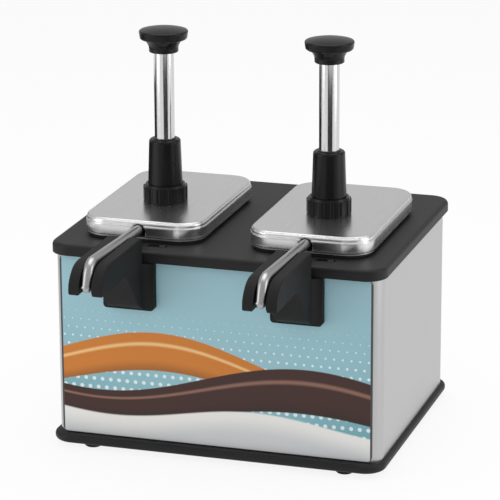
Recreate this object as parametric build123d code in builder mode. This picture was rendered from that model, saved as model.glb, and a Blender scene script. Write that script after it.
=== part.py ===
"""Twin countertop topping warmer: two jars with push-down pumps over one heated housing.

While modelling, Y = 0 is the line through the two pump axes and each pump's own pieces are built
on X = 0. At export every piece is moved so that the frame's origin is under the middle of the
whole unit: +X to the unit's right, -Y to its front, +Z up, Z = 0 on the counter.
"""
import os
from math import cos, radians, sin, sqrt

from build123d import *

os.makedirs("parts", exist_ok=True)

# ------------------------------------------------------------------ sizes, millimetres
pump_pitch = 161.6          # pump axis to pump axis
nose_reach = 221.0          # pump line to the tip of the spout cradles
rear_reach = 159.0          # pump line to the rear edge of the top cover
lift_gap = 0.3              # free gap round pieces that lift out or swing
run_gap = 0.05              # radial gap of sliding and turning fits

# base tray and feet
tray_w = 324.0
tray_front = 110.0          # pump line to the tray's front edge
tray_rear = 155.0
tray_h = 8.6
tray_floor = 3.5
tray_r = 20.0
tray_edge = 3.6
tray_lip_h = 6.5            # lip that stands up inside the shroud
tray_lip_t = 2.2
foot_h = 4.8
foot_r = 8.5
foot_spread = 247.0         # left foot to right foot
foot_front = 94.0           # pump line to the front feet
foot_rear = 132.0
foot_boss_r = 6.0
foot_boss_h = 4.5
foot_screw_r = 2.0
foot_head_r = 3.6
foot_head_h = 2.4
foot_recess = 2.8           # counterbore depth for the screw head

# shroud and its panels
shroud_w = 316.0
shroud_front = 100.7        # pump line to the shroud's front face
shroud_rear = 147.8
shroud_h = 176.1
shroud_t = 1.5
shroud_r = 16.0
panel_w = 302.0
panel_h = 173.7
panel_t = 2.0
panel_r = 5.0
panel_gap = 1.0             # left beside the front panel where the corners turn away
rear_w = 274.0
rear_h = 150.0
rear_t = 1.2
rear_r = 6.0
rear_lap = 14.0             # how far the rear panel laps over the window's edge
rear_screw_x = 129.0
rear_screw_z = 134.0
vent_w = 46.0
vent_h = 4.0
vent_pitch_x = 62.0
vent_pitch_z = 11.0
vent_columns = 2
vent_rows = 7
screw_r = 1.7
screw_head_r = 3.5
screw_head_h = 2.0
screw_l = 7.0

# top cover
cover_w = 322.6
cover_front = 107.9         # pump line to the cover's front edge
cover_h = 10.5
cover_t = 4.0
cover_r = 20.0
cover_edge = 4.0
cover_rib_h = 8.0           # rib that reaches down inside the shroud
cover_rib_t = 2.2
pocket_x = 21.5             # small screw pocket beside each cradle, from the pump axis
pocket_y = 87.5             # and in front of the pump line
pocket_w = 19.0
pocket_d = 8.0
pocket_depth = 1.4
pocket_screw_x = 26.5

# jar, well and gasket
jar_w = 100.0
jar_d = 166.5
jar_h = 154.0
jar_t = 1.0
jar_r = 16.0
jar_draft = 1.5
jar_base_r = 9.0
jar_flange = 8.0
jar_flange_t = 1.5
jar_back = 13.75            # jar centre behind the pump axis
gasket_t = 2.8
gasket_inset = 2.0          # gasket edge inside the flange's edge
well_gap = 2.0
well_t = 1.2
well_flange = 7.0
well_floor_gap = 4.0        # jar bottom to well floor
well_base_r = 6.0
band_t = 2.5
band_h = 70.0
band_up = 12.0              # band's lower edge above the well's underside
tab_w = 14.0                # heater tab that carries the leads
tab_drop = 5.0              # how far the tab hangs below the well
jacket_t = 10.0
jacket_h = 100.0
stat_r = 12.0
stat_h = 10.0

# lid
lid_over = 1.0              # skirt outside the jar flange
lid_h = 15.4
lid_t = 1.0
lid_r = 25.0
lid_edge = 3.0
lid_step = 0.8
lid_step_h = 5.0
lid_hem = 2.4
lid_hem_t = 1.2
notch_w = 13.0
notch_h = 12.5              # top of the tube notch above the skirt's hem

# pump
rod_r = 9.525
rod_t = 1.5
rod_show = 83.9             # bare rod between guide and knob
stroke = 70.0
bore_r = 12.0
barrel_t = 2.0
neck_r = 18.2
neck_h = 11.7               # neck above the lid
barrel_flange_r = 22.0
barrel_flange_t = 2.5
piston_h = 28.0
piston_drop = 28.6          # neck's top edge to the piston's top at rest
piston_socket = 18.0
seal_h = 3.0
seal_depth = 1.8
seal_up = 4.0               # seal groove above the piston's lower face
valve_r = 17.0
valve_h = 24.5
valve_up = 3.0              # valve body above the jar's floor
inlet_r = 4.5
inlet_h = 6.0
ball_r = 6.0
chamber_r = 7.5
outlet_r = 3.4
outlet_z = 11.0             # outlet passage above the valve's underside
spring_r = 10.2
spring_wire = 0.8
spring_turns = 9

# collar and guide above the lid
collar_r = 21.1
collar_h = 16.7
collar_ribs = 16
rib_cut_r = 2.5
rib_cut_depth = 1.3
collar_top_r = 18.6
collar_top_h = 2.4
collar_foot_h = 1.0
guide_r = 15.0
guide_foot_r = 16.4
guide_flange_t = 2.0
guide_h = 48.6              # above the neck
guide_edge = 2.6
guide_lip_r = 11.4
guide_lip_h = 0.9
bush_l = 14.0
guide_relief = 1.2          # bore below the bush is this much wider

# knob
knob_r = 23.15
knob_h = 23.3
knob_dome = 2.6
knob_rim_h = 6.6
knob_shoulder_r = 17.2      # neck where it leaves the cap's underside
knob_foot_r = 13.9
knob_foot_h = 3.4
knob_edge = 1.7
knob_socket = 14.0

# discharge tube
tube_r = 4.7625
tube_t = 0.9
tube_out = 25.0             # pump axis to the tube's riser
tube_bend = 14.0
tube_rise = 12.5            # tube axis at the nose above the jar flange
tube_socket = 8.0
tip_bead = 0.7              # ring round the tube's end
tip_bead_h = 1.5
tip_h = 3.0                 # tapered mouthpiece below the ring
tip_taper = 30.0
tip_bore_r = 2.2
tube_fall = 7.6             # drop of the tube's straight run from the nose back to the riser
tube_end_back = 13.0        # last bend behind the nose tip
tube_end_run = 8.5          # last leg: forward
tube_end_fall = 21.5        # and down
gland_r = 8.5
gland_h = 7.0

# spout cradle
cradle_w = 32.0
cradle_top = 15.3           # cheek tops above the deck
cradle_rear_gap = 5.0       # cheeks' rear end in front of the cover's edge
cheek_rear_r = 3.0
cheek_edge = 1.2
cheek_flat = 31.0           # nose tip back to where the cheeks start to curve down
nose_h = 26.0
channel_gap = 1.2           # tube to each cheek
channel_sink = 3.8          # channel floor below the tube's underside
channel_relief_w = 15.0
channel_relief_h = 4.5
plate_w = 49.5
plate_h = 45.5
plate_t = 7.8
plate_drop = 0.7            # plate's top edge below the cover
plate_r = 3.5
plate_bevel = 1.6
cradle_blend = 8.0
heater_r = 3.1
heater_l = 30.0
heater_drop = 11.0          # heater axis below the plate's top edge
lead_hole_r = 3.0
cradle_screw_x = 34.0
cradle_screw_drop = 23.0
cradle_screw_bite = 5.0

# switch, bushing, terminal block and leads on the inside of the rear panel
switch_x = 104.0
switch_z = 58.8             # above the counter
bezel_w = 24.0
bezel_h = 31.0
bezel_t = 2.0
switch_body_w = 21.0
switch_body_h = 27.0
switch_body_d = 19.0
rocker_w = 15.0
rocker_r = 10.4
rocker_in = 4.0             # rocker axis behind the bezel's face
rocker_vee = 3.2            # bottom of the rocker's hollow in front of its axis
rocker_tilt = 7.0
pin_r = 1.5
pin_l = 1.4
bushing_x = 104.0
bushing_z = 53.8
bushing_r = 6.4
bushing_flange_r = 9.5
bushing_out = 7.5
bushing_bore_r = 3.6
bushing_in = 6.0
block_w = 60.0
block_d = 20.0
block_h = 16.0
block_y = 128.0
block_ways = 5
block_pitch = 11.0
lead_r = 1.3
lead_bend = 6.0
lead_run = 12.0             # straight run of a lead into the terminal block
lead_pair = 10.0            # between the two spout leads where they drop between the jackets
lead_z = 28.8

# ------------------------------------------------------------------ derived places
pump_y = (nose_reach - rear_reach) / 2
sides = (("left", -pump_pitch / 2), ("right", pump_pitch / 2))

tray_z = foot_h
shroud_z = tray_z + tray_h
cover_z = shroud_z + shroud_h
deck_z = cover_z + cover_h
flange_z = deck_z + gasket_t + jar_flange_t
lid_z = flange_z + lid_h
neck_z = lid_z + neck_h
guide_z = neck_z + guide_h
knob_z = guide_z + rod_show
jar_z = flange_z - jar_h
valve_z = jar_z + jar_t + valve_up
barrel_z = valve_z + valve_h
well_floor_z = jar_z - well_floor_gap
well_z = well_floor_z - well_t
piston_top_z = neck_z - piston_drop
piston_z = piston_top_z - piston_h

shroud_d = shroud_front + shroud_rear
shroud_y = (shroud_rear - shroud_front) / 2
tray_d = tray_front + tray_rear
tray_y = (tray_rear - tray_front) / 2
cover_d = cover_front + rear_reach
cover_y = (rear_reach - cover_front) / 2
inner_w = shroud_w - 2 * shroud_t
inner_d = shroud_d - 2 * shroud_t - panel_t
inner_y = shroud_y + panel_t / 2
inner_front = shroud_front - panel_t - shroud_t     # inside of the shroud's front wall
opening_w = jar_w + 2 * well_gap
opening_d = jar_d + 2 * well_gap
opening_r = jar_r + well_gap
flange_w = jar_w + 2 * jar_flange
flange_d = jar_d + 2 * jar_flange
flange_r = jar_r + jar_flange
lid_w = flange_w + 2 * lid_over
lid_d = flange_d + 2 * lid_over
rear_face = shroud_rear + rear_t
panel_z = shroud_z + shroud_h / 2
plate_top_z = cover_z - plate_drop
feet = [(side * foot_spread / 2, y) for side in (-1, 1) for y in (-foot_front, foot_rear)]
cradle_screws_xy = [(x + side * cradle_screw_x / 2, plate_top_z - cradle_screw_drop)
                    for _, x in sides for side in (-1, 1)]
lead_holes_xy = [(x, plate_top_z - heater_drop) for _, x in sides]


def write(piece, name):
    """Label a finished piece, move it into the unit's frame and write its file."""
    placed = piece.part.moved(Location((0, pump_y, 0)))
    placed.label = name
    export_step(placed, f"parts/{name}.step")


def write_pair(piece, name):
    """Write the left and the right copy of a piece that was built on its pump's own axis."""
    for side, x in sides:
        placed = piece.part.moved(Location((x, pump_y, 0)))
        placed.label = f"{name}_{side}"
        export_step(placed, f"parts/{name}_{side}.step")


# ------------------------------------------------------------------ base tray and feet
with BuildPart() as base_tray:
    with BuildSketch(Plane.XY.offset(tray_z)):
        with Locations((0, tray_y)):
            RectangleRounded(tray_w, tray_d, tray_r)
    extrude(amount=tray_h)
    fillet(base_tray.faces().filter_by(Axis.Z).edges(), tray_edge)
    with BuildSketch(Plane.XY.offset(shroud_z)):
        with Locations((0, inner_y)):
            RectangleRounded(inner_w - 2 * lift_gap, inner_d - 2 * lift_gap, shroud_r - shroud_t)
    extrude(amount=tray_lip_h)
    with BuildSketch(Plane.XY.offset(tray_z + tray_floor)):
        with Locations((0, inner_y)):
            RectangleRounded(inner_w - 2 * lift_gap - 2 * tray_lip_t,
                             inner_d - 2 * lift_gap - 2 * tray_lip_t,
                             shroud_r - shroud_t - tray_lip_t)
    extrude(amount=tray_h + tray_lip_h, mode=Mode.SUBTRACT)
    with BuildSketch(Plane.XY.offset(tray_z + tray_floor)):
        with Locations(*feet):
            Circle(foot_boss_r)
    extrude(amount=foot_boss_h)
    with Locations(*[(x, y, tray_z) for x, y in feet]):
        Cylinder(foot_screw_r, tray_floor + foot_boss_h - 1.0,
                 align=(Align.CENTER, Align.CENTER, Align.MIN), mode=Mode.SUBTRACT)
write(base_tray, "base_tray")

with BuildPart() as rubber_feet:
    with BuildSketch(Plane.XY):
        with Locations(*feet):
            Circle(foot_r)
    extrude(amount=foot_h)
    chamfer(rubber_feet.faces().sort_by(Axis.Z)[0].edges()
            + rubber_feet.faces().sort_by(Axis.Z)[1].edges()
            + rubber_feet.faces().sort_by(Axis.Z)[2].edges()
            + rubber_feet.faces().sort_by(Axis.Z)[3].edges(), 1.2)
    with Locations(*[(x, y, 0) for x, y in feet]):
        Cylinder(foot_head_r + lift_gap, foot_recess,
                 align=(Align.CENTER, Align.CENTER, Align.MIN), mode=Mode.SUBTRACT)
        Cylinder(foot_screw_r, foot_h, align=(Align.CENTER, Align.CENTER, Align.MIN),
                 mode=Mode.SUBTRACT)
write(rubber_feet, "rubber_feet")

with BuildPart() as foot_screws:
    with Locations(*[(x, y, foot_recess) for x, y in feet]):
        Cylinder(foot_head_r, foot_head_h, align=(Align.CENTER, Align.CENTER, Align.MAX))
        Cylinder(foot_screw_r, foot_h - foot_recess + tray_floor + foot_boss_h - 1.0,
                 align=(Align.CENTER, Align.CENTER, Align.MIN))
write(foot_screws, "foot_screws")

# ------------------------------------------------------------------ shroud and panels
with BuildPart() as shroud:
    with BuildSketch(Plane.XY.offset(shroud_z)):
        with Locations((0, shroud_y)):
            RectangleRounded(shroud_w, shroud_d, shroud_r)
        with Locations((0, inner_y)):
            RectangleRounded(inner_w, inner_d, shroud_r - shroud_t, mode=Mode.SUBTRACT)
        with Locations((0, -shroud_front)):
            Rectangle(panel_w + 2 * panel_gap, 2 * panel_t, mode=Mode.SUBTRACT)
    extrude(amount=shroud_h)
    with BuildSketch(Plane.XZ.offset(-shroud_rear)):
        with Locations((0, panel_z)):
            Rectangle(rear_w - 2 * rear_lap, rear_h - 2 * rear_lap)
            with GridLocations(rear_screw_x, rear_screw_z, 3, 2):
                Circle(screw_r)
    extrude(amount=2 * shroud_t, mode=Mode.SUBTRACT)
    with BuildSketch(Plane.XZ.offset(shroud_front)):
        with Locations(*cradle_screws_xy):
            Circle(screw_r)
        with Locations(*lead_holes_xy):
            Circle(lead_hole_r)
    extrude(amount=-2 * (panel_t + shroud_t), mode=Mode.SUBTRACT)
write(shroud, "shroud")

with BuildPart() as front_panel:
    with BuildSketch(Plane.XZ.offset(shroud_front - panel_t)):
        with Locations((0, panel_z)):
            RectangleRounded(panel_w, panel_h, panel_r)
        with Locations(*cradle_screws_xy):
            Circle(screw_r, mode=Mode.SUBTRACT)
        with Locations(*lead_holes_xy):
            Circle(lead_hole_r, mode=Mode.SUBTRACT)
    extrude(amount=panel_t)
write(front_panel, "front_panel")

with BuildPart() as rear_panel:
    with BuildSketch(Plane.XZ.offset(-shroud_rear)):
        with Locations((0, panel_z)):
            RectangleRounded(rear_w, rear_h, rear_r)
            with GridLocations(rear_screw_x, rear_screw_z, 3, 2):
                Circle(screw_r, mode=Mode.SUBTRACT)
            with GridLocations(vent_pitch_x, vent_pitch_z, vent_columns, vent_rows):
                Rectangle(vent_w, vent_h, mode=Mode.SUBTRACT)
        with Locations((switch_x, switch_z)):
            Rectangle(switch_body_w, switch_body_h, mode=Mode.SUBTRACT)
        with Locations((-bushing_x, bushing_z)):
            Circle(bushing_r, mode=Mode.SUBTRACT)
    extrude(amount=-rear_t)
write(rear_panel, "rear_panel")

with BuildPart() as rear_screws:
    with BuildSketch(Plane.XZ.offset(-rear_face)):
        with Locations((0, panel_z)):
            with GridLocations(rear_screw_x, rear_screw_z, 3, 2):
                Circle(screw_head_r)
    extrude(amount=-screw_head_h)
    with BuildSketch(Plane.XZ.offset(-rear_face)):
        with Locations((0, panel_z)):
            with GridLocations(rear_screw_x, rear_screw_z, 3, 2):
                Circle(screw_r)
    extrude(amount=screw_l)
write(rear_screws, "rear_panel_screws")

# ------------------------------------------------------------------ top cover
wells_xy = [(x, jar_back) for _, x in sides]
pockets_xy = [(x + pocket_x, -pocket_y) for _, x in sides]
cover_screws_xy = [(x + pocket_screw_x, -pocket_y) for _, x in sides]

with BuildPart() as top_cover:
    with BuildSketch(Plane.XY.offset(cover_z)):
        with Locations((0, cover_y)):
            RectangleRounded(cover_w, cover_d, cover_r)
    extrude(amount=cover_h)
    fillet(top_cover.faces().sort_by(Axis.Z)[-1].edges(), cover_edge)
    with BuildSketch(Plane.XY.offset(cover_z)):
        with Locations((0, inner_y)):
            RectangleRounded(inner_w, inner_d, shroud_r - shroud_t)
    extrude(amount=cover_h - cover_t, mode=Mode.SUBTRACT)
    with BuildSketch(Plane.XY.offset(deck_z - cover_t)):
        with Locations((0, inner_y)):
            RectangleRounded(inner_w - 2 * lift_gap, inner_d - 2 * lift_gap,
                             shroud_r - shroud_t)
            RectangleRounded(inner_w - 2 * lift_gap - 2 * cover_rib_t,
                             inner_d - 2 * lift_gap - 2 * cover_rib_t,
                             shroud_r - shroud_t - cover_rib_t, mode=Mode.SUBTRACT)
    extrude(amount=-(cover_h - cover_t + cover_rib_h))
    with BuildSketch(Plane.XY.offset(cover_z)):
        with Locations(*wells_xy):
            RectangleRounded(opening_w, opening_d, opening_r)
    extrude(amount=cover_h, mode=Mode.SUBTRACT)
    with BuildSketch(Plane.XY.offset(deck_z)):
        with Locations(*pockets_xy):
            RectangleRounded(pocket_w, pocket_d, pocket_d / 2 - 1)
    extrude(amount=-pocket_depth, mode=Mode.SUBTRACT)
    with Locations(*[(x, y, deck_z) for x, y in cover_screws_xy]):
        Cylinder(screw_r, cover_t, align=(Align.CENTER, Align.CENTER, Align.MAX),
                 mode=Mode.SUBTRACT)
write(top_cover, "top_cover")

with BuildPart() as cover_screws:
    with Locations(*[(x, y, deck_z - pocket_depth) for x, y in cover_screws_xy]):
        Cylinder(screw_r, screw_l, align=(Align.CENTER, Align.CENTER, Align.MAX))
        Cylinder(screw_head_r, screw_head_h, align=(Align.CENTER, Align.CENTER, Align.MIN))
    fillet(cover_screws.faces().filter_by(Axis.Z).group_by(Axis.Z)[-1].edges(), 1.2)
write(cover_screws, "cover_screws")

# ------------------------------------------------------------------ well, heater, jacket
with BuildPart() as well_inside:
    with BuildSketch(Plane.XY.offset(well_floor_z)):
        with Locations((0, jar_back)):
            RectangleRounded(opening_w, opening_d, opening_r)
    extrude(amount=deck_z - well_floor_z)
    fillet(well_inside.faces().sort_by(Axis.Z)[0].edges(), well_base_r - well_t)

with BuildPart() as well:
    with BuildSketch(Plane.XY.offset(well_z)):
        with Locations((0, jar_back)):
            RectangleRounded(opening_w + 2 * well_t, opening_d + 2 * well_t, opening_r + well_t)
    extrude(amount=deck_z - cover_t - well_z)
    with BuildSketch(Plane.XY.offset(deck_z - cover_t)):
        with Locations((0, jar_back)):
            RectangleRounded(opening_w + 2 * well_flange, opening_d + 2 * well_flange,
                             opening_r + well_flange)
    extrude(amount=-well_t)
    fillet(well.faces().sort_by(Axis.Z)[0].edges(), well_base_r)
    add(well_inside.part, mode=Mode.SUBTRACT)
write_pair(well, "well")

band_w = opening_w + 2 * well_t
band_d = opening_d + 2 * well_t
band_r = opening_r + well_t
with BuildPart() as well_heater:
    with BuildSketch(Plane.XY.offset(well_z + band_up)):
        with Locations((0, jar_back)):
            RectangleRounded(band_w + 2 * band_t, band_d + 2 * band_t, band_r + band_t)
            RectangleRounded(band_w, band_d, band_r, mode=Mode.SUBTRACT)
    extrude(amount=band_h)
    with BuildSketch(Plane.XY.offset(well_z - tab_drop)):
        with Locations((0, jar_back + band_d / 2)):
            Rectangle(tab_w, band_t, align=(Align.CENTER, Align.MIN))
    extrude(amount=tab_drop + band_up)
write_pair(well_heater, "well_heater")

with BuildPart() as insulation:
    with BuildSketch(Plane.XY.offset(well_z)):
        with Locations((0, jar_back)):
            RectangleRounded(band_w + 2 * band_t + 2 * jacket_t, band_d + 2 * band_t + 2 * jacket_t,
                             band_r + band_t + jacket_t)
            RectangleRounded(band_w + 2 * band_t, band_d + 2 * band_t, band_r + band_t,
                             mode=Mode.SUBTRACT)
    extrude(amount=jacket_h)
write_pair(insulation, "insulation")

with BuildPart() as thermostat:
    with Locations((0, jar_back, well_z)):
        Cylinder(stat_r, stat_h, align=(Align.CENTER, Align.CENTER, Align.MAX))
        Cylinder(stat_r - 4, stat_h + 3, align=(Align.CENTER, Align.CENTER, Align.MAX))
write_pair(thermostat, "thermostat")

with BuildPart() as well_gasket:
    with BuildSketch(Plane.XY.offset(deck_z)):
        with Locations((0, jar_back)):
            RectangleRounded(flange_w - 2 * gasket_inset, flange_d - 2 * gasket_inset,
                             flange_r - gasket_inset)
            RectangleRounded(opening_w, opening_d, opening_r, mode=Mode.SUBTRACT)
    extrude(amount=gasket_t)
write_pair(well_gasket, "well_gasket")

# ------------------------------------------------------------------ jar and lid
with BuildPart() as jar_inside:
    with BuildSketch(Plane.XY.offset(flange_z)):
        with Locations((0, jar_back)):
            RectangleRounded(jar_w - 2 * jar_t, jar_d - 2 * jar_t, jar_r - jar_t)
    extrude(amount=-(jar_h - jar_t), taper=jar_draft)
    fillet(jar_inside.faces().sort_by(Axis.Z)[0].edges(), jar_base_r - jar_t)

with BuildPart() as jar:
    with BuildSketch(Plane.XY.offset(flange_z)):
        with Locations((0, jar_back)):
            RectangleRounded(jar_w, jar_d, jar_r)
    extrude(amount=-jar_h, taper=jar_draft)
    fillet(jar.faces().sort_by(Axis.Z)[0].edges(), jar_base_r)
    with BuildSketch(Plane.XY.offset(flange_z)):
        with Locations((0, jar_back)):
            RectangleRounded(flange_w, flange_d, flange_r)
    extrude(amount=-jar_flange_t)
    add(jar_inside.part, mode=Mode.SUBTRACT)
write_pair(jar, "jar")

with BuildPart() as lid:
    with BuildSketch(Plane.XY.offset(flange_z)):
        with Locations((0, jar_back)):
            RectangleRounded(lid_w, lid_d, lid_r)
    extrude(amount=lid_h - lid_step_h)
    with BuildSketch(Plane.XY.offset(lid_z)):
        with Locations((0, jar_back)):
            RectangleRounded(lid_w - 2 * lid_step, lid_d - 2 * lid_step, lid_r - lid_step)
    extrude(amount=-lid_h)
    fillet(lid.faces().sort_by(Axis.Z)[-1].edges(), lid_edge)
    with BuildSketch(Plane.XY.offset(flange_z + lid_hem_t)):
        with Locations((0, jar_back)):
            RectangleRounded(lid_w - 2 * lid_t, lid_d - 2 * lid_t, lid_r - lid_t)
    extrude(amount=lid_h - lid_step_h - lid_hem_t - lid_t, mode=Mode.SUBTRACT)
    with BuildSketch(Plane.XY.offset(flange_z + lid_hem_t)):
        with Locations((0, jar_back)):
            RectangleRounded(lid_w - 2 * (lid_step + lid_t), lid_d - 2 * (lid_step + lid_t),
                             lid_r - lid_step - lid_t)
    extrude(amount=lid_h - lid_hem_t - lid_t, mode=Mode.SUBTRACT)
    with BuildSketch(Plane.XY.offset(flange_z)):
        with Locations((0, jar_back)):
            RectangleRounded(lid_w - 2 * lid_hem, lid_d - 2 * lid_hem, lid_r - lid_hem)
    extrude(amount=lid_hem_t, mode=Mode.SUBTRACT)
    with BuildSketch(Plane.XY.offset(lid_z)):
        Circle(neck_r + lift_gap)
    extrude(amount=-2 * lid_t, mode=Mode.SUBTRACT)
    with BuildSketch(Plane.XZ.offset(lid_d / 2 - jar_back - 2 * lid_hem)):
        with Locations((0, flange_z + notch_h - notch_w / 2)):
            Circle(notch_w / 2)
        with Locations((0, flange_z - 1)):
            Rectangle(notch_w, notch_h - notch_w / 2 + 1, align=(Align.CENTER, Align.MIN))
    extrude(amount=3 * lid_hem, mode=Mode.SUBTRACT)
write_pair(lid, "lid")

# ------------------------------------------------------------------ pump below the lid
with BuildPart() as pump_barrel:
    with BuildSketch(Plane.XZ) as barrel_section:
        with BuildLine():
            Polyline((bore_r, barrel_z), (bore_r + barrel_t, barrel_z),
                     (bore_r + barrel_t, lid_z - lid_t - barrel_flange_t - 4.0),
                     (neck_r, lid_z - lid_t - barrel_flange_t),
                     (barrel_flange_r, lid_z - lid_t - barrel_flange_t),
                     (barrel_flange_r, lid_z - lid_t), (neck_r, lid_z - lid_t),
                     (neck_r, neck_z), (bore_r, neck_z), close=True)
        make_face()
    revolve(axis=Axis.Z)
write_pair(pump_barrel, "pump_barrel")

outlet_top_z = barrel_z - tube_socket
with BuildPart() as pump_valve:
    with BuildSketch(Plane.XY.offset(valve_z)):
        Circle(valve_r)
        with Locations((0, -tube_out)):
            Circle(gland_r)
        with Locations((0, -tube_out / 2)):
            Rectangle(2 * gland_r, tube_out)
    extrude(amount=valve_h)
    chamfer(pump_valve.faces().sort_by(Axis.Z)[0].edges(), 1.5)
    with BuildSketch(Plane.XY.offset(valve_z)):
        Circle(inlet_r)
    extrude(amount=inlet_h, mode=Mode.SUBTRACT)
    with BuildSketch(Plane.XY.offset(valve_z + inlet_h)):
        Circle(chamber_r)
    extrude(amount=valve_h - inlet_h, mode=Mode.SUBTRACT)
    with BuildSketch(Plane.XZ):
        with Locations((0, valve_z + outlet_z)):
            Circle(outlet_r)
    extrude(amount=tube_out, mode=Mode.SUBTRACT)
    with BuildSketch(Plane.XY.offset(valve_z + outlet_z)):
        with Locations((0, -tube_out)):
            Circle(outlet_r)
    extrude(amount=valve_h - outlet_z, mode=Mode.SUBTRACT)
    with BuildSketch(Plane.XY.offset(barrel_z)):
        with Locations((0, -tube_out)):
            Circle(tube_r)
    extrude(amount=-tube_socket, mode=Mode.SUBTRACT)
write_pair(pump_valve, "pump_valve")

with BuildPart() as inlet_ball:
    with Locations((0, 0, valve_z + inlet_h + sqrt(ball_r**2 - inlet_r**2) + run_gap)):
        Sphere(ball_r)
write_pair(inlet_ball, "inlet_ball")

with BuildPart() as tube_gland:
    with BuildSketch(Plane.XY.offset(barrel_z)):
        with Locations((0, -tube_out)):
            RegularPolygon(gland_r, 6)
            Circle(tube_r, mode=Mode.SUBTRACT)
    extrude(amount=gland_h)
write_pair(tube_gland, "tube_gland")

# ------------------------------------------------------------------ discharge tube
tube_high_z = flange_z + tube_rise
tube_slope = tube_fall / (nose_reach - tube_end_back - tube_out)
tube_path_points = [(-tube_out, outlet_top_z), (-tube_out, tube_high_z - tube_fall),
                    (-(nose_reach - tube_end_back), tube_high_z),
                    (-(nose_reach - tube_end_back + tube_end_run), tube_high_z - tube_end_fall)]
with BuildPart() as discharge_tube:
    with BuildLine(Plane.YZ) as tube_path:
        FilletPolyline(*tube_path_points, radius=tube_bend)
    with BuildSketch(Plane.XY.offset(outlet_top_z)):
        with Locations((0, -tube_out)):
            Circle(tube_r)
            Circle(tube_r - tube_t, mode=Mode.SUBTRACT)
    sweep(path=tube_path.wires()[0])
    tip_plane = Plane(tube_path.wires()[0] @ 1, z_dir=tube_path.wires()[0] % 1)
    with BuildSketch(tip_plane):
        Circle(tube_r + tip_bead)
        Circle(tube_r - tube_t, mode=Mode.SUBTRACT)
    extrude(amount=-tip_bead_h)
    with BuildSketch(tip_plane):
        Circle(tube_r)
    extrude(amount=tip_h, taper=tip_taper)
    with BuildSketch(tip_plane):
        Circle(tip_bore_r)
    extrude(amount=tip_h, mode=Mode.SUBTRACT)
write_pair(discharge_tube, "discharge_tube")

# ------------------------------------------------------------------ plunger
with BuildPart() as plunger_rod:
    with BuildSketch(Plane.XZ):
        with BuildLine():
            Polyline((rod_r - rod_t, piston_top_z - piston_socket),
                     (rod_r, piston_top_z - piston_socket), (rod_r, knob_z + knob_socket),
                     (rod_r - rod_t, knob_z + knob_socket), close=True)
        make_face()
    revolve(axis=Axis.Z)
write_pair(plunger_rod, "plunger_rod")

seal_z = piston_z + seal_up
piston_r = bore_r - 2 * run_gap
with BuildPart() as piston:
    with BuildSketch(Plane.XZ):
        with BuildLine():
            Polyline((0, piston_z), (piston_r - 1, piston_z), (piston_r, piston_z + 1),
                     (piston_r, seal_z), (piston_r - seal_depth, seal_z),
                     (piston_r - seal_depth, seal_z + seal_h), (piston_r, seal_z + seal_h),
                     (piston_r, piston_top_z), (rod_r, piston_top_z),
                     (rod_r, piston_top_z - piston_socket), (0, piston_top_z - piston_socket),
                     close=True)
        make_face()
    revolve(axis=Axis.Z)
write_pair(piston, "piston")

with BuildPart() as piston_seal:
    with BuildSketch(Plane.XZ):
        with BuildLine():
            Polyline((piston_r - seal_depth, seal_z), (bore_r - run_gap, seal_z),
                     (bore_r - run_gap - 0.6, seal_z + seal_h / 2), (bore_r - run_gap, seal_z + seal_h),
                     (piston_r - seal_depth, seal_z + seal_h), close=True)
        make_face()
    revolve(axis=Axis.Z)
write_pair(piston_seal, "piston_seal")

spring_h = piston_z - barrel_z - 2 * spring_wire
with BuildPart() as return_spring:
    with BuildLine() as coil:
        Helix(pitch=spring_h / spring_turns, height=spring_h, radius=spring_r,
              center=(0, 0, barrel_z + spring_wire))
    with BuildSketch(Plane(coil.line @ 0, z_dir=coil.line % 0)):
        Circle(spring_wire)
    sweep()
write_pair(return_spring, "return_spring")

with BuildPart() as plunger_knob:
    with BuildSketch(Plane.XZ):
        with BuildLine():
            top_z = knob_z + knob_h
            rim_z = top_z - knob_dome
            under_z = rim_z - knob_rim_h
            dome = ThreePointArc((0, top_z), (knob_r * 0.52, top_z - knob_dome * 0.26),
                                 (knob_r - knob_edge, rim_z))
            shoulder = RadiusArc(dome @ 1, (knob_r, rim_z - knob_edge), knob_edge + 0.1)
            rim = Line(shoulder @ 1, (knob_r - 0.7, under_z))
            under = RadiusArc(rim @ 1, (knob_r - 3.2, under_z - 2.2), 2.6)
            seat = Line(under @ 1, (knob_shoulder_r, under_z - 3.0))
            flare = Spline(seat @ 1, (knob_foot_r + 0.9, (under_z + knob_z) / 2),
                           (knob_foot_r, knob_z + knob_foot_h), tangents=[(-0.6, -1), (0, -1)])
            foot = Polyline(flare @ 1, (knob_foot_r, knob_z + 0.6), (knob_foot_r - 0.6, knob_z),
                            (rod_r, knob_z), (rod_r, knob_z + knob_socket),
                            (0, knob_z + knob_socket), (0, top_z))
        make_face()
    revolve(axis=Axis.Z)
write_pair(plunger_knob, "plunger_knob")

# ------------------------------------------------------------------ guide and lock collar
with BuildPart() as plunger_guide:
    with BuildSketch(Plane.XZ):
        with BuildLine():
            flange_top = neck_z + guide_flange_t
            Polyline((rod_r + run_gap + guide_relief, neck_z), (neck_r, neck_z),
                     (neck_r, flange_top), (guide_foot_r, flange_top),
                     (guide_foot_r, lid_z + collar_h + lift_gap), (guide_r, guide_z - guide_edge))
            RadiusArc((guide_r, guide_z - guide_edge), (guide_r - guide_edge, guide_z), -guide_edge)
            Polyline((guide_r - guide_edge, guide_z), (guide_lip_r, guide_z),
                     (guide_lip_r - 0.5, guide_z + guide_lip_h),
                     (rod_r + run_gap, guide_z + guide_lip_h), (rod_r + run_gap, guide_z - bush_l),
                     (rod_r + run_gap + guide_relief, guide_z - bush_l - guide_relief),
                     (rod_r + run_gap + guide_relief, neck_z))
        make_face()
    revolve(axis=Axis.Z)
write_pair(plunger_guide, "plunger_guide")

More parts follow.
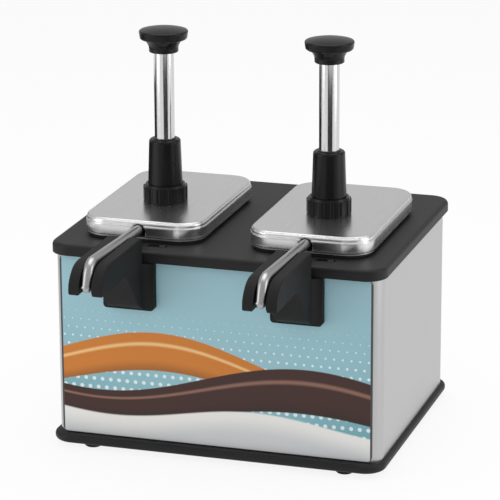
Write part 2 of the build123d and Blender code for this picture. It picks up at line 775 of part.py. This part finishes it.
with BuildPart() as lock_collar:
    with BuildSketch(Plane.XY.offset(lid_z + collar_foot_h)):
        Circle(collar_r)
        with PolarLocations(collar_r + rib_cut_r - rib_cut_depth, collar_ribs):
            Circle(rib_cut_r, mode=Mode.SUBTRACT)
    extrude(amount=collar_h - collar_foot_h - collar_top_h)
    with BuildSketch(Plane.XY.offset(lid_z)):
        Circle(collar_r - rib_cut_depth)
    extrude(amount=collar_foot_h)
    with BuildSketch(Plane.XZ):
        with BuildLine():
            Polyline((0, lid_z + collar_h - collar_top_h),
                     (collar_r - rib_cut_depth, lid_z + collar_h - collar_top_h),
                     (collar_top_r, lid_z + collar_h), (0, lid_z + collar_h), close=True)
        make_face()
    revolve(axis=Axis.Z)
    with BuildSketch(Plane.XY.offset(lid_z)):
        Circle(neck_r + run_gap)
    extrude(amount=neck_h + guide_flange_t, mode=Mode.SUBTRACT)
    with BuildSketch(Plane.XY.offset(lid_z)):
        Circle(guide_foot_r + lift_gap)
    extrude(amount=collar_h, mode=Mode.SUBTRACT)
write_pair(lock_collar, "lock_collar")

# ------------------------------------------------------------------ spout cradle
cheek_z = deck_z + cradle_top
nose_z = cheek_z - nose_h
plate_y = shroud_front + plate_t            # pump line to the back plate's front face
cheek_y = cover_front + cradle_rear_gap     # pump line to the cheeks' rear end
plate_low_z = plate_top_z - plate_h
heater_z = plate_top_z - heater_drop
channel_r = tube_r + channel_gap            # half the width of the channel
end_leg = sqrt(tube_end_run**2 + tube_end_fall**2)
bed_drop = tube_r + channel_sink            # tube axis to the channel's floor
turn_y = bed_drop * (end_leg - tube_end_run) / tube_end_fall - (nose_reach - tube_end_back)
floor_high_z = tube_high_z - bed_drop
floor_low_z = floor_high_z - tube_slope * (-turn_y - cheek_y + 1)
exit_z = nose_z - 2.0
exit_y = turn_y - (floor_high_z - exit_z) * tube_end_run / tube_end_fall
with BuildSketch(Plane.YZ) as cradle_profile:
    with BuildLine():
        top = Line((-cheek_y, cheek_z), (-(nose_reach - cheek_flat), cheek_z))
        nose = Spline(top @ 1, (-(nose_reach - 9.0), cheek_z - 5.6),
                      (-(nose_reach - 1.8), cheek_z - 14.0), (-nose_reach, nose_z + 2.5),
                      tangents=[(-1, 0), (0, -1)])
        tip = RadiusArc(nose @ 1, (-(nose_reach - 2.5), nose_z), -2.5)
        belly = Line(tip @ 1, (-(nose_reach - 54.0), nose_z + 0.8))
        arch = Spline(belly @ 1, (-(plate_y + 34.0), plate_low_z + 32.5),
                      (-(plate_y + 18.0), plate_low_z + 11.0), (-plate_y, plate_low_z + 1.6),
                      tangents=[(1, 0.02), (1, -0.35)])
        Polyline(arch @ 1, (-shroud_front, plate_low_z + 1.6), (-shroud_front, plate_top_z),
                 (-cheek_y, plate_top_z), (-cheek_y, cheek_z))
    make_face()

with BuildPart() as cradle_blends:
    with BuildSketch(Plane.XY.offset(plate_low_z)):
        with Locations((cradle_w / 2, -plate_y)):
            Rectangle(cradle_blend, cradle_blend, align=(Align.MIN, Align.MAX))
        with Locations((cradle_w / 2 + cradle_blend, -plate_y - cradle_blend)):
            Circle(cradle_blend, mode=Mode.SUBTRACT)
        mirror(about=Plane.YZ)
    extrude(amount=plate_h)
    extrude(cradle_profile.sketch, amount=plate_w, both=True, mode=Mode.INTERSECT)

with BuildPart() as spout_cradle:
    extrude(cradle_profile.sketch, amount=cradle_w / 2, both=True)
    rear_edges = spout_cradle.edges().filter_by(Axis.X).group_by(Axis.Z)[-1]
    fillet(rear_edges.sort_by(Axis.Y)[-1], cheek_rear_r)
    outer_edges = spout_cradle.edges().filter_by(
        lambda e: abs(e.center().X) > cradle_w / 2 - 0.01
        and (e.center().Z > plate_top_z + 2.0 or e.center().Y < -nose_reach + 4.0))
    fillet(outer_edges, cheek_edge)
    with BuildSketch(Plane.XZ.offset(shroud_front)):
        with Locations((0, plate_top_z)):
            Rectangle(plate_w, plate_h, align=(Align.CENTER, Align.MAX))
    extrude(amount=plate_t)
    low_corners = spout_cradle.edges().filter_by(Axis.Y).group_by(Axis.Z)[0]
    fillet(low_corners, plate_r)
    add(cradle_blends.part)
    with BuildSketch(Plane.YZ) as channel:
        with BuildLine():
            bed = FilletPolyline((-cheek_y + 1, floor_low_z), (turn_y, floor_high_z),
                                 (exit_y, exit_z),
                                 radius=tube_bend - bed_drop)
            Polyline(bed @ 1, (-nose_reach - 2, exit_z), (-nose_reach - 2, cheek_z + 2),
                     (-cheek_y + 1, cheek_z + 2), bed @ 0)
        make_face()
    extrude(amount=channel_r, both=True, mode=Mode.SUBTRACT)
    with BuildSketch(Plane.XZ.offset(nose_reach - tube_end_back - 4)):
        with BuildLine():
            Polyline((-channel_relief_w / 2, nose_z - 1), (-channel_r, nose_z + channel_relief_h),
                     (channel_r, nose_z + channel_relief_h), (channel_relief_w / 2, nose_z - 1),
                     close=True)
        make_face()
    extrude(amount=tube_end_back + 6, mode=Mode.SUBTRACT)
    with BuildSketch(Plane.XZ.offset(shroud_front)):
        with Locations((0, heater_z)):
            Circle(heater_r + run_gap)
    extrude(amount=heater_l + 1, mode=Mode.SUBTRACT)
    with BuildSketch(Plane.XZ.offset(shroud_front)):
        with Locations(*[(side * cradle_screw_x / 2, plate_top_z - cradle_screw_drop)
                         for side in (-1, 1)]):
            Circle(screw_r)
    extrude(amount=cradle_screw_bite, mode=Mode.SUBTRACT)
write_pair(spout_cradle, "spout_cradle")

with BuildPart() as spout_heater:
    with BuildSketch(Plane.XZ.offset(shroud_front)):
        with Locations((0, heater_z)):
            Circle(heater_r)
    extrude(amount=heater_l)
write_pair(spout_heater, "spout_heater")

with BuildPart() as cradle_screws:
    with BuildSketch(Plane.XZ.offset(inner_front)):
        with Locations(*cradle_screws_xy):
            Circle(screw_head_r)
    extrude(amount=-screw_head_h)
    with BuildSketch(Plane.XZ.offset(inner_front)):
        with Locations(*cradle_screws_xy):
            Circle(screw_r)
    extrude(amount=panel_t + shroud_t + cradle_screw_bite)
write(cradle_screws, "cradle_screws")

# ------------------------------------------------------------------ power switch
with BuildPart() as switch_bezel:
    with BuildSketch(Plane.XZ.offset(-rear_face)):
        with Locations((switch_x, switch_z)):
            RectangleRounded(bezel_w, bezel_h, 2.0)
    extrude(amount=-bezel_t)
    fillet(switch_bezel.faces().sort_by(Axis.Y)[-1].edges(), 0.8)
    with BuildSketch(Plane.XZ.offset(-rear_face)):
        with Locations((switch_x, switch_z)):
            Rectangle(switch_body_w - 2 * run_gap, switch_body_h - 2 * run_gap)
    extrude(amount=switch_body_d)
    with BuildSketch(Plane.XZ.offset(-rear_face - bezel_t)):
        with Locations((switch_x, switch_z)):
            Rectangle(rocker_w + 2 * lift_gap, 2 * (rocker_r + lift_gap))
    extrude(amount=bezel_t + rocker_in + rocker_r, mode=Mode.SUBTRACT)
    with Locations(Location((switch_x, rear_face + bezel_t - rocker_in, switch_z), (0, 90, 0))):
        Cylinder(pin_r + run_gap, rocker_w + 2 * pin_l + 2 * run_gap, mode=Mode.SUBTRACT)
write(switch_bezel, "switch_bezel")

rocker_plane = Plane(origin=(switch_x, rear_face + bezel_t - rocker_in, switch_z),
                     x_dir=(0, cos(radians(rocker_tilt)), sin(radians(rocker_tilt))),
                     z_dir=(1, 0, 0))
with BuildPart() as power_rocker:
    with BuildSketch(rocker_plane):
        Circle(rocker_r)
        with BuildLine():
            rise = rocker_r * 1.2
            Polyline((rocker_vee, 0), (rocker_vee + rise * 0.125, rise), (2 * rocker_r, rise),
                     (2 * rocker_r, -rise), (rocker_vee + rise * 0.125, -rise), close=True)
        make_face(mode=Mode.SUBTRACT)
    extrude(amount=rocker_w / 2, both=True)
    with BuildSketch(rocker_plane):
        Circle(pin_r)
    extrude(amount=rocker_w / 2 + pin_l, both=True)
write(power_rocker, "power_rocker")

# ------------------------------------------------------------------ cord bushing and inside wiring
with BuildPart() as cord_bushing:
    with BuildSketch(Plane.XZ.offset(-rear_face)):
        with Locations((-bushing_x, bushing_z)):
            Circle(bushing_flange_r)
    extrude(amount=-2.0)
    with BuildSketch(Plane.XZ.offset(-rear_face)):
        with Locations((-bushing_x, bushing_z)):
            Circle(bushing_r)
    extrude(amount=-bushing_out, taper=6)
    with BuildSketch(Plane.XZ.offset(-rear_face)):
        with Locations((-bushing_x, bushing_z)):
            Circle(bushing_r)
    extrude(amount=bushing_in)
    with BuildSketch(Plane.XZ.offset(-rear_face - bushing_out)):
        with Locations((-bushing_x, bushing_z)):
            Circle(bushing_bore_r)
    extrude(amount=bushing_out + bushing_in, mode=Mode.SUBTRACT)
write(cord_bushing, "cord_bushing")

block_z = tray_z + tray_floor
with BuildPart() as terminal_block:
    with BuildSketch(Plane.XY.offset(block_z)):
        with Locations((0, block_y)):
            Rectangle(block_w, block_d)
    extrude(amount=block_h)
    with BuildSketch(Plane.XY.offset(block_z + block_h)):
        with Locations((0, block_y)):
            with GridLocations(block_pitch, 1, block_ways, 1):
                Rectangle(block_pitch - 2.5, block_d - 8)
    extrude(amount=-3.0, mode=Mode.SUBTRACT)
    with BuildSketch(Plane.XY.offset(block_z + block_h - 3.0)):
        with Locations((0, block_y)):
            with GridLocations(block_pitch, 1, block_ways, 1):
                Circle(screw_head_r - 0.5)
    extrude(amount=1.6)
write(terminal_block, "terminal_block")

block_front = block_y - block_d / 2
block_back = block_y + block_d / 2
pad_z = block_z + block_h - 1.4
entry_z = block_z + block_h / 2
switch_mid = rear_face - switch_body_d / 2
bushing_end = rear_face - bushing_in
tab_y = jar_back + band_d / 2 + band_t / 2
tab_z = well_z - tab_drop
jar_x = pump_pitch / 2
spout_way = 2 * block_pitch
well_way = block_pitch
turn_in_y = lead_bend + 1 - inner_front
middle_x = lead_pair / 2
lead_paths = [
    [(-bushing_x, bushing_end, bushing_z), (-bushing_x, bushing_end - lead_run, bushing_z),
     (-bushing_x, bushing_end - lead_run, lead_z),
     (lead_run - bushing_x, bushing_end - lead_run, entry_z),
     (-block_w / 2 - lead_run, block_y, entry_z), (-block_w / 2, block_y, entry_z)],
    [(switch_x, switch_mid, switch_z - switch_body_h / 2), (switch_x, switch_mid, lead_z),
     (switch_x - lead_run, switch_mid, entry_z), (block_w / 2 + lead_run, block_y, entry_z),
     (block_w / 2, block_y, entry_z)]]
for side in (-1, 1):
    lead_paths.append([(side * jar_x, -shroud_front, heater_z), (side * jar_x, turn_in_y, heater_z),
                       (side * middle_x, turn_in_y, heater_z),
                       (side * middle_x, turn_in_y, lead_z),
                       (side * spout_way, block_front - 2 * lead_run, lead_z),
                       (side * spout_way, block_front - lead_run, entry_z),
                       (side * spout_way, block_front, entry_z)])
    lead_paths.append([(side * jar_x, tab_y, tab_z), (side * jar_x, tab_y, lead_z + 4),
                       (side * well_way, tab_y + 4, lead_z + 4),
                       (side * well_way, block_y, lead_z + 4), (side * well_way, block_y, pad_z)])
with BuildPart() as wiring:
    for points in lead_paths:
        with BuildLine() as lead:
            FilletPolyline(*points, radius=lead_bend)
        with BuildSketch(Plane(lead.wires()[0] @ 0, z_dir=lead.wires()[0] % 0)):
            Circle(lead_r)
        sweep(path=lead.wires()[0])
    with BuildSketch(Plane.XZ.offset(-jar_back - stat_r)):
        with Locations(*[(x, well_z - 3.0) for _, x in sides]):
            Circle(lead_r)
    extrude(amount=stat_r - band_d / 2)
write(wiring, "wiring")
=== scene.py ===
import math

import bpy
from mathutils import Matrix, Vector


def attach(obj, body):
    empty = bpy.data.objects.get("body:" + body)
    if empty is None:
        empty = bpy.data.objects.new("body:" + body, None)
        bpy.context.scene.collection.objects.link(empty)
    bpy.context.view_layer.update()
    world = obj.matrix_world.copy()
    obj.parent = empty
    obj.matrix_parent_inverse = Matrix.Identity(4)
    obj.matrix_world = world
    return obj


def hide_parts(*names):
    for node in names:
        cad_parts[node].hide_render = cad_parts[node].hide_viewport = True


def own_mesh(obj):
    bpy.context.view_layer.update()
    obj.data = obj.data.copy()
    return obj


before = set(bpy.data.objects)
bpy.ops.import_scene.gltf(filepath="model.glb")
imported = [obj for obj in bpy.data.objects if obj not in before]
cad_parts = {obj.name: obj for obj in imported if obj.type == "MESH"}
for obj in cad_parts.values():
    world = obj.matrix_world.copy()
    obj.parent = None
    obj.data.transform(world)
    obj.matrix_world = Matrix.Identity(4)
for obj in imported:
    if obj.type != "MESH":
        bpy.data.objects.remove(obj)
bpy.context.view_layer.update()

# ---------------------------------------------------------------- places, in metres
PUMP_X = 0.0808             # each pump's axis, left and right of the middle
PANEL_LOW = 0.0146          # lower edge of the front panel
PANEL_HIGH = 0.1883
PANEL_HALF = 0.151          # half the front panel's width
GAP_SHADE_WIDTH = 0.0017             # width of the painted shade strip along the print's sides, for the gap beside the panel's edges
DOT_PITCH = 0.0082          # rows and columns of dots on the print
SIDES = (("left", -PUMP_X), ("right", PUMP_X))


# ---------------------------------------------------------------- shader maths
class Value:
    """A shader socket that takes part in ordinary sums."""

    def __init__(self, finish, socket):
        self.finish = finish
        self.socket = socket

    def maths(self, operation, *others):
        return self.finish.add("ShaderNodeMath", {"operation": operation}, [self, *others])

    def __add__(self, other):
        return self.maths("ADD", other)

    def __radd__(self, other):
        return self.maths("ADD", other)

    def __sub__(self, other):
        return self.maths("SUBTRACT", other)

    def __rsub__(self, other):
        return self.finish.add("ShaderNodeMath", {"operation": "SUBTRACT"}, [other, self])

    def __mul__(self, other):
        return self.maths("MULTIPLY", other)

    def __rmul__(self, other):
        return self.maths("MULTIPLY", other)

    def __truediv__(self, other):
        return self.maths("DIVIDE", other)

    def sine(self):
        return self.maths("SINE")

    def size(self):
        return self.maths("ABSOLUTE")

    def most(self, other):
        return self.maths("MAXIMUM", other)

    def step(self, low, high):
        """0 below low, 1 above high, smooth between."""
        return self.finish.add("ShaderNodeMapRange",
                               {"interpolation_type": "SMOOTHSTEP", "clamp": True},
                               {"Value": self, "From Min": low, "From Max": high})


class Finish:
    """One procedural material, built node by node."""

    def __init__(self, name, **surface):
        self.material = bpy.data.materials.new(name)
        self.material.use_nodes = True
        self.tree = self.material.node_tree
        self.tree.nodes.clear()
        self.out = self.tree.nodes.new("ShaderNodeOutputMaterial")
        self.shader = self.tree.nodes.new("ShaderNodeBsdfPrincipled")
        self.tree.links.new(self.shader.outputs[0], self.out.inputs["Surface"])
        for socket, value in surface.items():
            self.set(socket.replace("_", " "), value)

    def add(self, kind, settings=None, inputs=None, output=0):
        """Add one node: its settings first, then the values or links of its sockets."""
        node = self.tree.nodes.new(kind)
        for key, value in (settings or {}).items():
            setattr(node, key, value)
        given = inputs.items() if isinstance(inputs, dict) else enumerate(inputs or ())
        for key, value in given:
            self.feed(node.inputs[key], value)
        return Value(self, node.outputs[output])

    def feed(self, socket, value):
        if isinstance(value, Value):
            self.tree.links.new(value.socket, socket)
        elif isinstance(value, tuple) and len(value) == 3 and socket.type == "RGBA":
            socket.default_value = (*value, 1.0)
        else:
            socket.default_value = value

    def set(self, socket, value):
        self.feed(self.shader.inputs[socket], value)

    def place(self):
        """The surface point in the part's own frame."""
        return self.add("ShaderNodeTexCoord", output="Object")

    def parts(self, at):
        """A vector's three components."""
        split = self.tree.nodes.new("ShaderNodeSeparateXYZ")
        self.feed(split.inputs[0], at)
        return (Value(self, out) for out in split.outputs)

    def stretched(self, at, scale):
        return self.add("ShaderNodeMapping", {}, {"Vector": at, "Scale": scale})

    def noise(self, at, scale, detail=3.0, roughness=0.55):
        return self.add("ShaderNodeTexNoise", {}, {"Vector": at, "Scale": scale, "Detail": detail,
                                                   "Roughness": roughness})

    def blend(self, factor, first, second):
        return self.add("ShaderNodeMix", {"data_type": "RGBA"},
                        {0: factor, 6: first, 7: second}, output=2)

    def bump(self, height, distance, strength=1.0, rolled=0.0):
        """Relief from a height; rolled softens the part's edges by that radius."""
        sockets = {"Height": height, "Distance": distance, "Strength": strength}
        if rolled:
            sockets["Normal"] = self.add("ShaderNodeBevel", {"samples": 6}, {"Radius": rolled})
        self.set("Normal", self.add("ShaderNodeBump", {}, sockets))


def moulded_plastic(name, colour, light, roughness, grain=2600.0, depth=0.00012, sheen=0.25):
    """Moulded plastic with a fine spark-eroded texture."""
    finish = Finish(name, Roughness=roughness, Specular_IOR_Level=sheen)
    at = finish.place()
    cloud = finish.noise(at, 18.0, 2.0)
    finish.set("Base Color", finish.blend(cloud.step(0.3, 0.75), colour, light))
    pebble = finish.noise(at, grain, 2.0, 0.6)
    finish.set("Roughness", roughness - 0.06 + cloud * 0.12)
    finish.bump(pebble, depth, 0.35)
    return finish.material


def steel(name, colour, roughness, along, grain=900.0, spread=0.1, depth=0.00003, rolled=0.0):
    """Steel with a fine grain drawn out along one axis of the part."""
    finish = Finish(name, Metallic=1.0)
    at = finish.place()
    scale = tuple(0.02 if axis == along else 1.0 for axis in "xyz")
    hair = finish.noise(finish.stretched(at, scale), grain, 3.0, 0.6)
    cloud = finish.noise(at, 9.0, 3.0)
    darker = tuple(0.93 * c for c in colour)
    finish.set("Base Color", finish.blend((hair * 0.6 + cloud * 0.4).step(0.3, 0.7),
                                          darker, colour))
    finish.set("Roughness", roughness - spread / 2 + hair * spread)
    finish.bump(hair, depth, 0.25, rolled)
    return finish.material


def bright_steel(name, colour, roughness):
    """Polished steel with faint draw lines along it."""
    finish = Finish(name, Metallic=1.0)
    at = finish.place()
    fine = finish.noise(finish.stretched(at, (1.0, 1.0, 0.25)), 700.0, 2.0)
    finish.set("Base Color", finish.blend(fine.step(0.25, 0.8), tuple(0.95 * c for c in colour),
                                          colour))
    finish.set("Roughness", roughness + fine * 0.05)
    return finish.material


def printed_panel():
    """Satin print: pale teal ground, a cream wave below and two syrup-coloured ribbons, with painted
    shade along its sides.
    """
    finish = Finish("printed panel", Roughness=0.32, Specular_IOR_Level=0.45)
    x, y, z = finish.parts(finish.place())
    up = (z - PANEL_LOW) / (PANEL_HIGH - PANEL_LOW)
    across = x / 0.15
    glow = (1.0 - ((across * across) * 0.5 + (up - 0.5) * (up - 0.5) * 2.2)).step(0.2, 1.0)
    ground = finish.blend(up.step(0.0, 0.95), (0.16, 0.39, 0.45), (0.34, 0.57, 0.645))
    ground = finish.blend(glow * 0.4, ground, (0.39, 0.64, 0.70))

    # rows of pale dots that thin out towards the top
    row = (z / DOT_PITCH).maths("FLOOR")
    dx = (x / DOT_PITCH + row * 0.5).maths("FRACT") - 0.5
    dz = (z / DOT_PITCH).maths("FRACT") - 0.5
    away = (dx * dx + dz * dz).maths("SQRT")
    reach = 0.26 * (1.0 - up.step(0.25, 0.92))
    dots = (reach - away).step(0.0, 0.05) * 0.85
    ground = finish.blend(dots, ground, (0.86, 0.93, 0.95))

    def ribbon(colour, light, middle, swing, turns, phase, half, taper):
        line = middle + swing * (across * turns + phase).sine()
        wide = half * (1.0 + taper * (across * 2.1 + phase).sine())
        off = (up - line) / wide
        body = (1.0 - off.size()).step(0.0, 0.06)
        shine = (1.0 - (off - 0.38).size() / 0.16).step(0.0, 1.0)
        dark = (0.0 - off).step(0.35, 1.0)
        tone = finish.blend(shine * 0.75, colour, light)
        tone = finish.blend(dark * 0.6, tone, tuple(0.35 * c for c in colour))
        return body, tone

    body, tone = ribbon((0.62, 0.20, 0.02), (0.98, 0.68, 0.30), 0.40, 0.10, 2.6, 2.5, 0.085, 0.30)
    ground = finish.blend(body, ground, tone)
    body, tone = ribbon((0.042, 0.009, 0.005), (0.34, 0.17, 0.12), 0.27, 0.085, 2.4, 0.2, 0.10, 0.28)
    ground = finish.blend(body, ground, tone)

    # cream band along the foot
    crest = 0.17 + 0.045 * (across * 3.4 + 0.7).sine()
    cream = (crest - up).step(0.0, 0.012)
    fold = (crest - up - 0.02).step(0.0, 0.12)
    paper = finish.blend(fold, (0.86, 0.85, 0.82), (0.66, 0.67, 0.68))
    ground = finish.blend(cream, ground, paper)
    # painted shade: a dark strip along the print's sides stands in for the shade in the gap beside the
    # panel's edges
    gap_shade = (x.size() - (PANEL_HALF - GAP_SHADE_WIDTH)).step(-0.0002, 0.0002)
    finish.set("Base Color", finish.blend(gap_shade, ground, (0.05, 0.05, 0.055)))
    return finish.material


# ---------------------------------------------------------------- finishes
black = moulded_plastic("black moulding", (0.010, 0.010, 0.0105), (0.014, 0.014, 0.0145), 0.5)
cradle_black = moulded_plastic("cradle moulding", (0.014, 0.014, 0.0143), (0.020, 0.020, 0.0203), 0.62,
                               grain=2200.0, depth=0.00016, sheen=0.14)
gloss_black = moulded_plastic("pump moulding", (0.003, 0.003, 0.0031), (0.005, 0.005, 0.0052), 0.27,
                              grain=1800.0, depth=0.00005, sheen=0.22)
rubber = moulded_plastic("rubber", (0.02, 0.02, 0.02), (0.032, 0.032, 0.032), 0.8, grain=1400.0,
                         depth=0.0002)
white_plastic = moulded_plastic("white plastic", (0.72, 0.72, 0.69), (0.8, 0.8, 0.77), 0.45)
silicone = moulded_plastic("silicone band", (0.28, 0.04, 0.025), (0.36, 0.06, 0.035), 0.6)
lead_sleeve = moulded_plastic("lead sleeve", (0.42, 0.42, 0.38), (0.5, 0.5, 0.46), 0.55)
fibre = moulded_plastic("fibre jacket", (0.62, 0.6, 0.52), (0.74, 0.72, 0.64), 0.95, grain=420.0,
                        depth=0.0012)
satin_steel = steel("satin steel", (0.51, 0.51, 0.513), 0.34, "z")
lid_steel = steel("lid steel", (0.74, 0.74, 0.743), 0.26, "y", spread=0.06, rolled=0.0022)
jar_steel = steel("jar steel", (0.66, 0.66, 0.665), 0.45, "z")
screw_steel = steel("screw steel", (0.6, 0.6, 0.6), 0.3, "z", grain=1500.0)
cast_alloy = steel("aluminium", (0.62, 0.62, 0.63), 0.42, "z", grain=500.0, spread=0.14)
rod_steel = bright_steel("polished steel", (0.66, 0.66, 0.665), 0.1)
tube_steel = bright_steel("tube steel", (0.42, 0.42, 0.425), 0.3)
print_finish = printed_panel()


def dress(finish, *nodes):
    """Give CAD nodes one finish; a name without a side means both copies."""
    for node in nodes:
        names = [node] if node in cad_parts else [f"{node}_{side}" for side, _ in SIDES]
        for name in names:
            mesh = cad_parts[name].data
            mesh.materials.clear()
            mesh.materials.append(finish)


dress(black, "base_tray", "top_cover", "cover_screws")
dress(cradle_black, "spout_cradle")
dress(gloss_black, "plunger_knob", "plunger_guide", "lock_collar", "switch_bezel", "power_rocker",
      "cord_bushing")
# the black well gasket under the lid's edge is a seal that also stands in for the shade in the gap
# below the lid
dress(rubber, "rubber_feet", "well_gasket", "piston_seal")
dress(satin_steel, "shroud", "rear_panel")
dress(screw_steel, "rear_panel_screws", "cradle_screws", "foot_screws", "return_spring")
dress(lid_steel, "lid")
dress(jar_steel, "jar", "pump_barrel", "pump_valve", "tube_gland")
dress(rod_steel, "plunger_rod", "inlet_ball", "spout_heater")
dress(tube_steel, "discharge_tube")
dress(cast_alloy, "well", "thermostat")
dress(silicone, "well_heater")
dress(fibre, "insulation")
dress(white_plastic, "piston", "terminal_block")
dress(lead_sleeve, "wiring")
dress(print_finish, "front_panel")


# ---------------------------------------------------------------- return springs
def pump_spring(side):
    """A copy of the return spring that rides with the lid, on a mesh of its own."""
    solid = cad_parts[f"return_spring_{side}"]
    spring = bpy.data.objects.new(f"pump_spring_{side}", solid.data.copy())
    bpy.context.scene.collection.objects.link(spring)
    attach(spring, f"lid_body_{side}")
    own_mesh(spring)
    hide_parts(f"return_spring_{side}")


for side, x in SIDES:
    pump_spring(side)


# ---------------------------------------------------------------- floor, light, camera
def studio_white(name, colour, shade):
    """A pale floor that reads white to the camera but keeps part of the object's shadow."""
    finish = Finish(name, Base_Color=colour, Roughness=0.9)
    rays = finish.tree.nodes.new("ShaderNodeLightPath")
    seen = Value(finish, rays.outputs["Is Camera Ray"]).most(
        Value(finish, rays.outputs["Is Glossy Ray"])).most(
        Value(finish, rays.outputs["Is Transmission Ray"]))
    glow = finish.add("ShaderNodeEmission", {}, {"Color": (1.0, 1.0, 1.0), "Strength": 1.0})
    mix = finish.add("ShaderNodeMixShader", {}, {0: seen * (1.0 - shade), 2: glow})
    finish.tree.links.new(finish.shader.outputs[0], mix.socket.node.inputs[1])
    finish.tree.links.new(mix.socket, finish.out.inputs["Surface"])
    return finish.material


def flat_sheet(name, corners, material):
    """One flat face that belongs to the studio."""
    mesh = bpy.data.meshes.new(name)
    mesh.from_pydata(corners, [], [tuple(range(len(corners)))])
    mesh.materials.append(material)
    sheet = bpy.data.objects.new(name, mesh)
    bpy.context.scene.collection.objects.link(sheet)
    return sheet


FLOOR_REACH = 6.0
flat_sheet("floor", [(-FLOOR_REACH, -FLOOR_REACH, 0.0), (FLOOR_REACH, -FLOOR_REACH, 0.0),
                     (FLOOR_REACH, FLOOR_REACH, 0.0), (-FLOOR_REACH, FLOOR_REACH, 0.0)],
           studio_white("studio floor", (0.92, 0.92, 0.92), 0.12))

world = bpy.data.worlds.new("studio")
bpy.context.scene.world = world
world.use_nodes = True
sky = world.node_tree
sky.nodes.clear()
rays = sky.nodes.new("ShaderNodeLightPath")
room = sky.nodes.new("ShaderNodeBackground")
room.inputs["Color"].default_value = (0.62, 0.62, 0.62, 1.0)
room.inputs["Strength"].default_value = 1.0
paper = sky.nodes.new("ShaderNodeBackground")
paper.inputs["Color"].default_value = (1.0, 1.0, 1.0, 1.0)
choose = sky.nodes.new("ShaderNodeMixShader")
surface = sky.nodes.new("ShaderNodeOutputWorld")
sky.links.new(rays.outputs["Is Camera Ray"], choose.inputs[0])
sky.links.new(room.outputs[0], choose.inputs[1])
sky.links.new(paper.outputs[0], choose.inputs[2])
sky.links.new(choose.outputs[0], surface.inputs["Surface"])


def softbox(name, at, towards, width, height, watts):
    """A soft rectangular lamp aimed at a point."""
    light = bpy.data.lights.new(name, "AREA")
    light.shape = "RECTANGLE"
    light.size, light.size_y = width, height
    light.energy = watts
    lamp = bpy.data.objects.new(name, light)
    bpy.context.scene.collection.objects.link(lamp)
    lamp.location = at
    aim = Vector(towards) - Vector(at)
    lamp.rotation_euler = aim.to_track_quat("-Z", "Y").to_euler()


softbox("left softbox", (-1.05, -0.85, 0.55), (0, 0, 0.25), 0.8, 1.3, 5)
softbox("right softbox", (1.35, 0.05, 0.5), (0, 0, 0.25), 0.7, 1.2, 5)
softbox("top softbox", (0.0, 0.2, 1.7), (0, 0.05, 0.2), 1.6, 1.2, 12)


def dark_card(name, azimuth, away, width, height):
    """A low black card that only shows in glossy surfaces; azimuth runs from -Y towards +X."""
    out = Vector((math.sin(azimuth), -math.cos(azimuth), 0.0))
    across = Vector((math.cos(azimuth), math.sin(azimuth), 0.0)) * (width / 2)
    foot, up = out * away, Vector((0.0, 0.0, height))
    card = flat_sheet(name, [foot - across, foot + across, foot + across + up,
                             foot - across + up],
                      moulded_plastic(name, (0.02, 0.02, 0.02), (0.02, 0.02, 0.02), 0.9))
    card.visible_camera = card.visible_shadow = card.visible_diffuse = False


dark_card("front card", math.radians(30), 0.8, 0.8, 0.17)
dark_card("rear card", math.radians(-121), 0.8, 1.3, 0.17)

YAW, PITCH, ROLL = 17.487, 16.642, -0.265     # degrees: to the right, down, and about the view
camera_data = bpy.data.cameras.new("camera")
camera_data.sensor_width = 36.0
camera_data.lens = 208.0
camera = bpy.data.objects.new("camera", camera_data)
bpy.context.scene.collection.objects.link(camera)
camera.location = (0.7916, -2.4717, 0.9609)
turn = Matrix.Rotation(math.radians(YAW), 3, "Z")
tilt = Matrix.Rotation(math.radians(90.0 - PITCH), 3, "X")
camera.rotation_euler = (turn @ tilt @ Matrix.Rotation(math.radians(ROLL), 3, "Z")).to_euler()
bpy.context.scene.camera = camera
bpy.context.scene.view_settings.view_transform = "Standard"
